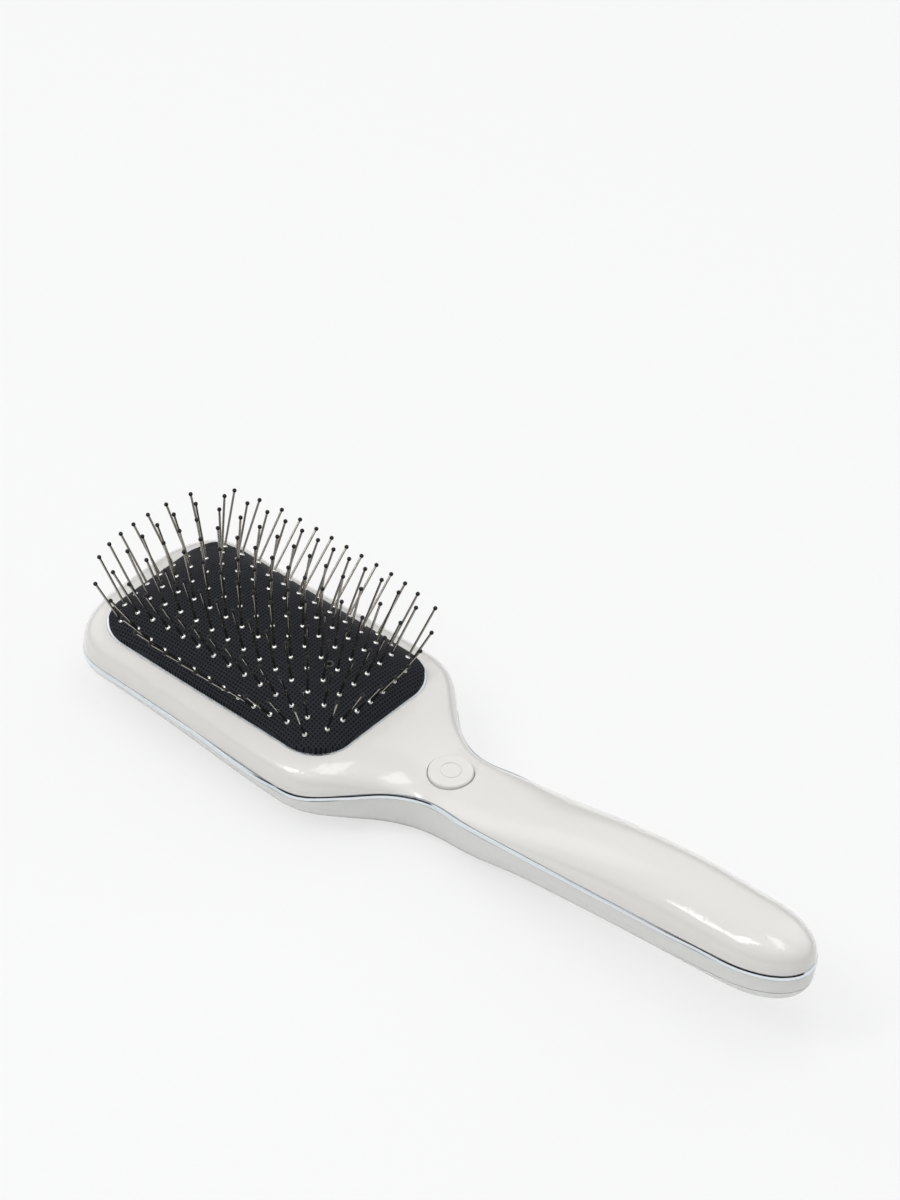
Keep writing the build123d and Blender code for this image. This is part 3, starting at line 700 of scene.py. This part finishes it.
@dataclass
class PinField:
    """Steel pins with their foot collars and ball tips, in bowed rows. Millimetres."""

    crown: Crown
    rows: int = 7
    columns: int = 14
    row_pitch: float = 6.0
    end_row_pitch: float = 5.6
    column_pitch: float = 6.2
    end_column_pitch: float = 6.33
    side_count: int = 13
    side_pitch: float = 5.74
    side_end_pitch: float = 6.57
    side_x: float = 23.4
    side_end_x: float = 21.9
    shift: float = 0.85
    row_bow: float = 0.015
    row_bow_reach: float = 35.0
    column_bow: float = 0.042
    column_bow_reach: float = 17.5
    side_bow: float = 0.177
    side_bow_reach: float = 37.2
    slope_step: float = 0.1
    lean_with_slope: float = 1.1
    lean_across: float = 0.03
    lean_along: float = 0.075
    outward_across: float = 0.19
    outward_along: float = 0.05
    length: float = 16.7
    pin_radius: float = 0.36
    pin_sides: int = 10
    pin_crease: float = 50.0
    collar_radius: float = 0.85
    collar_height: float = 0.55
    collar_sides: int = 14
    ball_radius: float = 0.65
    ball_sides: int = 12
    ball_rings: int = 8

    def feet(self) -> list[tuple[float, float]]:
        """Works out where the pins stand.

        Returns:
            Each foot's x across and y from the middle of the opening.
        """
        feet = []
        middle_row, middle_column = (self.rows - 1) / 2, (self.columns - 1) / 2
        for row in range(self.rows):
            for column in range(self.columns):
                step = column - middle_column
                x, y = (row - middle_row) * self.row_pitch, step * self.column_pitch
                if abs(step) == middle_column:
                    x = (row - middle_row) * self.end_row_pitch
                    y = math.copysign((middle_column - 1) * self.column_pitch + self.end_column_pitch, step)
                narrower = 1 - self.row_bow * (y / self.row_bow_reach) ** 2
                shorter = 1 - self.column_bow * (x / self.column_bow_reach) ** 2
                feet.append((x * narrower, y * shorter + self.shift))
        middle = (self.side_count - 1) // 2
        for side in (-1, 1):
            for step in range(-middle, middle + 1):
                y = step * self.side_pitch
                x = self.side_x * (1 - self.side_bow * (y / self.side_bow_reach) ** 4)
                if abs(step) == middle:
                    y = math.copysign((middle - 1) * self.side_pitch + self.side_end_pitch, step)
                    x = self.side_end_x
                feet.append((side * x, y + self.shift))
        return feet

    def lean(self, x: float, y: float) -> Vector:
        """Direction of the pin that stands at a point.

        Args:
            x: Place across.
            y: Place along, from the middle of the opening.

        Returns:
            A direction of length one.
        """
        step = self.slope_step
        slope_x = float(self.crown.z(x + step, y) - self.crown.z(x - step, y)) / (2 * step)
        slope_y = float(self.crown.z(x, y + step) - self.crown.z(x, y - step)) / (2 * step)
        out_x = self.outward_across * (max(x, 0) / self.side_end_x) ** 3
        out_y = self.outward_along * (y / self.side_bow_reach) ** 3
        return Vector((out_x - self.lean_with_slope * slope_x + self.lean_across,
                       out_y - self.lean_with_slope * slope_y + self.lean_along, 1)).normalized()

    def points(self, name: str, lift: float) -> bpy.types.Mesh:
        """Mesh of points at the pins' feet or further up them, with each pin's direction.

        Args:
            name: Name of the mesh.
            lift: How far up the pins the points lie.

        Returns:
            The mesh in metres, with the attribute lean.
        """
        places, leans = [], []
        for x, y in self.feet():
            lean = self.lean(x, y)
            foot = Vector((x, y + OPENING_CENTRE_Y, float(self.crown.z(x, y))))
            places.append((foot + lean * lift) * MM)
            leans.append(lean)
        mesh = bpy.data.meshes.new(name)
        mesh.from_pydata(places, [], [])
        attribute = mesh.attributes.new("lean", "FLOAT_VECTOR", "POINT")
        attribute.data.foreach_set("vector", np.array(leans, dtype=np.float32).ravel())
        return mesh

    @staticmethod
    def _start_tree(name: str, inputs: tuple[str, ...]) -> tuple[NodeBench, bpy.types.Node]:
        """Starts a geometry tree with named size inputs and a material.

        Args:
            name: Name of the tree.
            inputs: Names of its sizes.

        Returns:
            Its bench and its input node.
        """
        tree = bpy.data.node_groups.new(name, "GeometryNodeTree")
        tree.interface.new_socket("Geometry", in_out="INPUT", socket_type="NodeSocketGeometry")
        for size in inputs:
            tree.interface.new_socket(size, in_out="INPUT", socket_type="NodeSocketFloat")
        tree.interface.new_socket("Material", in_out="INPUT", socket_type="NodeSocketMaterial")
        tree.interface.new_socket("Geometry", in_out="OUTPUT", socket_type="NodeSocketGeometry")
        bench = NodeBench(tree)
        return bench, bench.add("NodeGroupInput")

    @staticmethod
    def _finish_tree(bench: NodeBench, source: bpy.types.Node, shape: bpy.types.Node) -> None:
        """Places a shape on each point along its lean, and ends the tree.

        Args:
            bench: The tree's bench.
            source: Its input node.
            shape: The node that gives the shape.
        """
        lean = bench.add("GeometryNodeInputNamedAttribute", {"Name": "lean"}, data_type="FLOAT_VECTOR")
        turn = bench.add("FunctionNodeAlignRotationToVector", axis="Z")
        spread = bench.add("GeometryNodeInstanceOnPoints")
        real = bench.add("GeometryNodeRealizeInstances")
        paint = bench.add("GeometryNodeSetMaterial")
        result = bench.add("NodeGroupOutput")
        bench.join(lean, "Attribute", turn, "Vector")
        bench.join(source, "Geometry", spread, "Points")
        bench.join(shape, 0, spread, "Instance")
        bench.join(turn, 0, spread, "Rotation")
        bench.join(spread, 0, real, 0)
        bench.join(real, 0, paint, "Geometry")
        bench.join(source, "Material", paint, "Material")
        bench.join(paint, 0, result, "Geometry")

    def _pin_tree(self) -> bpy.types.NodeTree:
        """Tree that stands a round pin on each point.

        Returns:
            The tree.
        """
        bench, source = self._start_tree("round_pins", ("Pin Radius", "Pin Length"))
        pin = bench.add("GeometryNodeMeshCylinder", {"Vertices": self.pin_sides}, fill_type="NGON")
        half = bench.add("ShaderNodeMath", {1: 0.5}, operation="MULTIPLY")
        offset = bench.add("ShaderNodeCombineXYZ")
        raised = bench.add("GeometryNodeTransform")
        bench.join(source, "Pin Radius", pin, "Radius")
        bench.join(source, "Pin Length", pin, "Depth")
        bench.join(source, "Pin Length", half, 0)
        bench.join(half, 0, offset, "Z")
        bench.join(pin, "Mesh", raised, "Geometry")
        bench.join(offset, 0, raised, "Translation")
        self._finish_tree(bench, source, raised)
        return bench.tree

    def _collar_tree(self) -> bpy.types.NodeTree:
        """Tree that sets a domed collar round each pin's foot.

        Returns:
            The tree.
        """
        bench, source = self._start_tree("domed_collars", ("Collar Radius", "Collar Height"))
        ball = bench.add("GeometryNodeMeshUVSphere",
                         {"Segments": self.collar_sides, "Rings": self.ball_rings, "Radius": 1.0})
        shape = bench.add("ShaderNodeCombineXYZ")
        collar = bench.add("GeometryNodeTransform")
        bench.join(source, "Collar Radius", shape, "X")
        bench.join(source, "Collar Radius", shape, "Y")
        bench.join(source, "Collar Height", shape, "Z")
        bench.join(ball, "Mesh", collar, "Geometry")
        bench.join(shape, 0, collar, "Scale")
        self._finish_tree(bench, source, collar)
        return bench.tree

    def _ball_tree(self) -> bpy.types.NodeTree:
        """Tree that sets a ball on each point.

        Returns:
            The tree.
        """
        bench, source = self._start_tree("ball_tips", ("Ball Radius",))
        ball = bench.add("GeometryNodeMeshUVSphere",
                         {"Segments": self.ball_sides, "Rings": self.ball_rings})
        bench.join(source, "Ball Radius", ball, "Radius")
        self._finish_tree(bench, source, ball)
        return bench.tree

    def build(self, paints: Paintbox) -> tuple[bpy.types.Object, bpy.types.Object, bpy.types.Object]:
        """Builds the pins, the collars at their feet and the balls on their tips.

        Args:
            paints: The materials.

        Returns:
            The pins, the collars and the balls.
        """
        steel, bright, black = (paints.material(slot) for slot in ("steel", "collar_steel", "tip_black"))
        pins = apply_tree("steel_pins", self.points("pin_feet", 0.0), self._pin_tree(), {
            "Pin Radius": self.pin_radius * MM, "Pin Length": self.length * MM}, steel)
        pins.data.set_sharp_from_angle(angle=math.radians(self.pin_crease))
        collars = apply_tree("pin_collars", self.points("collar_feet", 0.0), self._collar_tree(), {
            "Collar Radius": self.collar_radius * MM, "Collar Height": self.collar_height * MM}, bright)
        balls = apply_tree("ball_tips", self.points("ball_places", self.length), self._ball_tree(),
                           {"Ball Radius": self.ball_radius * MM}, black)
        return pins, collars, balls


@dataclass(frozen=True)
class Station:
    """One section of the case across its length. Millimetres."""

    y: float
    half_width: float
    trim_z: float


@dataclass
class PartingLine:
    """The line where the two case halves meet, round the whole brush, as a rule. Millimetres."""

    stations: tuple[Station, ...] = (
        Station(106.0, 31.6, 14.7), Station(73.0, 32.4, 14.7), Station(42.0, 33.7, 14.7),
        Station(31.0, 32.1, 14.9), Station(21.72, 24.455, 15.5), Station(12.88, 16.5, 16.4),
        Station(3.0, 12.2, 17.4), Station(-11.7, 12.7, 18.934), Station(-26.4, 13.0, 20.468),
        Station(-44.25, 13.2, 22.356), Station(-63.15, 13.2, 24.126), Station(-83.1, 13.1, 26.014),
        Station(-102.0, 12.5, 27.548))
    nose_tip_y: float = 125.0
    nose_squareness: float = 2.8
    nose_trim_z: float = 14.7
    tail_tip_y: float = -125.0
    tail_squareness: float = 2.1
    tail_trim_z: float = 29.2
    rows: int = 150
    end_rows: int = 30
    end_slope: float = 0.5

    def _smooth(self, places: np.ndarray, values: np.ndarray, at: np.ndarray) -> np.ndarray:
        """Smooth curve through values, level at neither end.

        Args:
            places: Places of the values, rising.
            values: The values.
            at: Places to read.

        Returns:
            The curve's values there.
        """
        secants = np.diff(values) / np.diff(places)
        gaps = np.diff(places)
        slopes = np.empty(len(values))
        slopes[1:-1] = (secants[:-1] * gaps[1:] + secants[1:] * gaps[:-1]) / (gaps[1:] + gaps[:-1])
        slopes[0], slopes[-1] = secants[0] * self.end_slope, secants[-1] * self.end_slope
        cell = np.clip(np.searchsorted(places, at) - 1, 0, len(gaps) - 1)
        gap = gaps[cell]
        part = (at - places[cell]) / gap
        return ((2 * part ** 3 - 3 * part ** 2 + 1) * values[cell]
                + (part ** 3 - 2 * part ** 2 + part) * gap * slopes[cell]
                + (3 * part ** 2 - 2 * part ** 3) * values[cell + 1]
                + (part ** 3 - part ** 2) * gap * slopes[cell + 1])

    def _end(self, start: Station, tip_y: float, trim_z: float, squareness: float) -> np.ndarray:
        """Points from a station round to the tip of an end, on the +X side.

        Args:
            start: Where the end begins.
            tip_y: Place of the tip.
            trim_z: Height of the line at the tip.
            squareness: Roundness of the end, 2 is an ellipse.

        Returns:
            Points from after the station up to the tip.
        """
        angles = np.linspace(0, math.pi / 2, self.end_rows + 1)[1:]
        along = np.sin(angles) ** (2 / squareness)
        across = np.cos(angles) ** (2 / squareness)
        across[-1] = 0.0
        return np.c_[start.half_width * across, start.y + (tip_y - start.y) * along,
                     start.trim_z + (trim_z - start.trim_z) * along]

    def loop(self) -> np.ndarray:
        """Works out the closed line.

        Returns:
            Its points from the nose's tip down the +X side and back up the -X side.
        """
        ordered = self.stations[::-1]
        places = np.array([station.y for station in ordered])
        at = np.linspace(self.stations[0].y, self.stations[-1].y, self.rows)
        width = self._smooth(places, np.array([station.half_width for station in ordered]), at)
        trim = self._smooth(places, np.array([station.trim_z for station in ordered]), at)
        nose = self._end(self.stations[0], self.nose_tip_y, self.nose_trim_z, self.nose_squareness)
        tail = self._end(self.stations[-1], self.tail_tip_y, self.tail_trim_z, self.tail_squareness)
        side = np.concatenate([nose[::-1], np.c_[width, at, trim], tail])
        other = side[1:-1][::-1] * np.array([-1, 1, 1])
        return np.concatenate([side, other])


@dataclass
class TrimBand:
    """The bright band that runs in the parting line, with a bevelled face. Millimetres."""

    line: PartingLine
    half_height: float = 0.88
    proud: float = 0.25
    depth: float = 1.0
    facet_low: float = -0.55
    facet_high: float = 0.46
    edge_out: float = 0.05
    end_pull: float = 0.02
    crease: float = 15.0

    def build(self, paints: Paintbox) -> bpy.types.Object:
        """Sweeps the bevelled section along the line and dresses it.

        Args:
            paints: The materials.

        Returns:
            The finished band.
        """
        loop = self.line.loop()
        ahead, behind = np.roll(loop, -1, axis=0), np.roll(loop, 1, axis=0)
        run = ahead - behind
        outward = np.c_[-run[:, 1], run[:, 0], np.zeros(len(loop))]
        outward /= np.linalg.norm(outward, axis=1, keepdims=True)
        from_middle = np.c_[loop[:, 0], loop[:, 1] * self.end_pull, np.zeros(len(loop))]
        facing = np.sign(np.sum(outward * from_middle, 1))
        outward *= np.where(facing == 0, 1, facing)[:, None]
        outward[0] = (0, 1, 0)
        lowest = int(np.argmin(loop[:, 1]))
        outward[lowest] = (0, -1, 0)
        section = [(-self.depth, -self.half_height), (self.edge_out, -self.half_height),
                   (self.proud, self.facet_low), (self.proud, self.facet_high),
                   (self.edge_out, self.half_height), (-self.depth, self.half_height)]
        points = np.concatenate([loop + outward * out + np.array([0, 0, height])
                                 for out, height in section])
        faces = ring_faces(len(section), len(loop), closed=True)
        mesh = closed_mesh("bright_band", (points * MM).tolist(), faces)
        band = make_piece("bright_band", mesh, paints.material("band_chrome"))
        mesh.set_sharp_from_angle(angle=math.radians(self.crease))
        return band


@dataclass
class PressSpring:
    """The button's return spring, a coil that shortens as the button goes in. Millimetres."""

    radius: float = 5.4
    wire: float = 0.25
    turns: int = 4
    steps_per_turn: int = 40
    wire_sides: int = 8
    low_z: float = 7.6
    high_z: float = 17.15
    centre_y: float = 3.0
    travel: float = 1.0

    def build(self, paints: Paintbox) -> bpy.types.Object:
        """Builds the coil, hangs it on the root body and hides the imported spring.

        Args:
            paints: The materials.

        Returns:
            The finished spring.
        """
        around, steps = self.wire_sides, self.steps_per_turn * self.turns
        points = []
        rise = (self.high_z - self.low_z - 2 * self.wire) / steps
        for step in range(steps + 1):
            angle = 2 * math.pi * self.turns * step / steps
            for corner in range(around):
                turn = 2 * math.pi * corner / around
                radius = self.radius + self.wire * math.cos(turn)
                across = radius * math.cos(angle)
                along = self.centre_y + radius * math.sin(angle)
                level = self.low_z + self.wire + rise * step + self.wire * math.sin(turn)
                points.append((across * MM, along * MM, level * MM))
        faces = ring_faces(steps + 1, around)
        faces.append(tuple(range(around)))
        faces.append(tuple(steps * around + corner for corner in reversed(range(around))))
        mesh = closed_mesh("press_spring", points, faces)
        spring = make_piece("press_spring", mesh, paints.material("spring_steel"))
        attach(spring, "root")
        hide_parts("button_return_spring")
        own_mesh(spring)
        return spring


@dataclass
class Casework:
    """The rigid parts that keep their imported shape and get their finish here."""

    record: dict

    def dress(self, paints: Paintbox) -> None:
        """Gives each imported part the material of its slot.

        Args:
            paints: The materials.
        """
        slots = {part["node"]: part["material_slot"] for part in self.record["subparts"]}
        for name, part in frame["nodes"].items():
            part.data.materials.clear()
            part.data.materials.append(paints.material(slots[name]))
            LOG.info("dressed %s in %s", name, slots[name])


@dataclass(frozen=True)
class Lamp:
    """One soft lamp over the brush, in metres and watts."""

    name: str
    place: tuple[float, float, float]
    size: tuple[float, float]
    power: float


LAMPS = (
    Lamp("softbox", (-0.80, 0.42, 1.25), (0.38, 0.70), 5.0),
    Lamp("overhead", (-0.6, -0.4, 2.6), (2.6, 2.6), 12.0),
    Lamp("fill", (1.3, -0.1, 1.1), (1.2, 1.2), 3.0),
    Lamp("window", (0.05, -0.06, 1.0), (0.56, 0.20), 1.05),
    Lamp("back", (0.2, 1.8, 1.2), (1.4, 1.4), 4.0),
)


@dataclass
class Studio:
    """Floor, lamps, backdrop and camera. The camera's sizes are in millimetres and degrees."""

    azimuth: float = -50.63
    elevation: float = 41.71
    roll: float = 2.36
    distance: float = 1723.6
    shift_right: float = -52.5
    shift_up: float = -13.8
    lens: float = 181.07
    target: tuple[float, float, float] = (0.0, OPENING_CENTRE_Y, 24.3)
    floor_half: float = 4.0
    floor_tones: tuple[float, float] = (0.90, 0.91)
    floor_lift: float = 0.945
    lift_share: float = 0.72
    room_strength: float = 0.62
    backdrop: float = 0.95
    warmth: float = 0.005
    dark_until: float = 0.22
    pale_from: float = 0.30

    def axes(self) -> tuple[Vector, Vector, Vector]:
        """Works out how the camera is turned.

        Returns:
            Its right, up and back directions.
        """
        angles = (self.azimuth, self.elevation, self.roll)
        azimuth, elevation, roll = (math.radians(angle) for angle in angles)
        back = Vector((math.sin(azimuth) * math.cos(elevation), -math.cos(azimuth) * math.cos(elevation),
                       math.sin(elevation)))
        right = Vector((math.cos(azimuth), math.sin(azimuth), 0))
        up = back.cross(right)
        return (right * math.cos(roll) + up * math.sin(roll),
                up * math.cos(roll) - right * math.sin(roll), back)

    def set_camera(self) -> None:
        """Places the camera where the photograph was taken from."""
        right, up, back = self.axes()
        centred = Vector(self.target) + back * self.distance
        place = (centred - right * self.shift_right - up * self.shift_up) * MM
        data = bpy.data.cameras.new("camera")
        data.lens = self.lens
        data.sensor_width = 36.0
        data.clip_start = 0.05
        data.clip_end = 30.0
        camera = put_in_scene("camera", data)
        camera.matrix_world = Matrix.Translation(place) @ Matrix((right, up, back)).transposed().to_4x4()
        bpy.context.scene.camera = camera

    @staticmethod
    def hang_lamp(lamp: Lamp) -> None:
        """Hangs one soft lamp, turned to the brush.

        Args:
            lamp: The lamp.
        """
        data = bpy.data.lights.new(lamp.name, "AREA")
        data.shape = "RECTANGLE"
        data.size, data.size_y = lamp.size
        data.energy = lamp.power
        hung = put_in_scene(lamp.name, data)
        away = Vector(lamp.place).to_track_quat("Z", "Y")
        hung.matrix_world = Matrix.Translation(lamp.place) @ away.to_matrix().to_4x4()

    def set_floor(self) -> None:
        """Lays the plain pale floor, lifted a little for the camera so that it matches the backdrop."""
        mesh = bpy.data.meshes.new("floor")
        half = self.floor_half
        mesh.from_pydata([(-half, -half, 0), (half, -half, 0), (half, half, 0), (-half, half, 0)], [],
                         [(0, 1, 2, 3)])
        material = bpy.data.materials.new("floor_paper")
        material.use_nodes = True
        bench = NodeBench(material.node_tree)
        output = bench.add("ShaderNodeOutputMaterial")
        shader = bench.add("ShaderNodeBsdfPrincipled", {"Roughness": 0.9, "Specular IOR Level": 0.1})
        tones = {socket: (grey, grey, grey - self.warmth, 1)
                 for socket, grey in zip(("A", "B"), self.floor_tones)}
        tone = bench.add("ShaderNodeMix", tones, data_type="RGBA")
        paper = bench.add("ShaderNodeTexNoise", {"Scale": 3.0})
        place = bench.add("ShaderNodeTexCoord")
        bench.join(place, "Object", paper, "Vector")
        bench.join(paper, "Fac", tone, "Factor")
        bench.join(tone, "Result", shader, "Base Color")
        lift = bench.add("ShaderNodeEmission", {"Color": (self.floor_lift,) * 3 + (1,)})
        rays = bench.add("ShaderNodeLightPath")
        share = bench.add("ShaderNodeMath", {1: self.lift_share}, operation="MULTIPLY")
        paper_or_lift = bench.add("ShaderNodeMixShader")
        bench.join(rays, "Is Camera Ray", share, 0)
        bench.join(share, 0, paper_or_lift, "Fac")
        bench.join(shader, 0, paper_or_lift, 1)
        bench.join(lift, 0, paper_or_lift, 2)
        bench.join(paper_or_lift, 0, output, 0)
        mesh.materials.append(material)
        floor = put_in_scene("floor", mesh)

    def set_world(self) -> None:
        """Fills the room with even light over a dark horizon, and shows a pale backdrop to the camera."""
        world = bpy.data.worlds.new("room")
        world.use_nodes = True
        bench = NodeBench(world.node_tree)
        output = bench.add("ShaderNodeOutputWorld")
        light = bench.add("ShaderNodeBackground", {"Strength": self.room_strength})
        place = bench.add("ShaderNodeTexCoord")
        height = bench.add("ShaderNodeSeparateXYZ")
        ramp = bench.add("ShaderNodeValToRGB")
        below, low = ramp.color_ramp.elements
        below.position, below.color = 0.0, (0.02, 0.02, 0.025, 1)
        low.position, low.color = self.dark_until, (0.05, 0.055, 0.06, 1)
        ramp.color_ramp.elements.new(self.pale_from).color = (0.97, 0.985, 1.0, 1)
        bench.join(place, "Generated", height, 0)
        bench.join(height, "Z", ramp, "Fac")
        bench.join(ramp, "Color", light, "Color")
        backdrop = bench.add("ShaderNodeBackground", {
            "Color": (self.backdrop, self.backdrop, self.backdrop - self.warmth, 1), "Strength": 1.0})
        rays = bench.add("ShaderNodeLightPath")
        choose = bench.add("ShaderNodeMixShader")
        bench.join(rays, "Is Camera Ray", choose, "Fac")
        bench.join(light, 0, choose, 1)
        bench.join(backdrop, 0, choose, 2)
        bench.join(choose, 0, output, "Surface")
        bpy.context.scene.world = world

    def build(self) -> None:
        """Sets up the whole studio."""
        self.set_camera()
        self.set_floor()
        self.set_world()
        for lamp in LAMPS:
            self.hang_lamp(lamp)
        bpy.context.scene.view_settings.view_transform = "Standard"


def main() -> None:
    """Builds the picture of the brush, piece by piece."""
    logging.basicConfig(level=logging.INFO)
    paints = Paintbox(EffectGroups(), FINISHES)
    Casework(frame["record"]).dress(paints)
    crown = Crown()
    skin = CushionSkin(crown).build(paints)
    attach(skin, "root")
    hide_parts("pin_cushion")
    LOG.info("built %s", skin.name)
    pins, collars, balls = PinField(crown).build(paints)
    for metal in (pins, collars):
        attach(metal, "root")
        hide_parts("pin_cushion")
    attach(balls, "root")
    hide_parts("pin_ball_tips")
    LOG.info("built %s, %s and %s", pins.name, collars.name, balls.name)
    band = TrimBand(PartingLine()).build(paints)
    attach(band, "root")
    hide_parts("trim_band")
    LOG.info("built %s", band.name)
    spring = PressSpring().build(paints)
    LOG.info("built %s", spring.name)
    Studio().build()


if __name__ == "__main__":
    main()
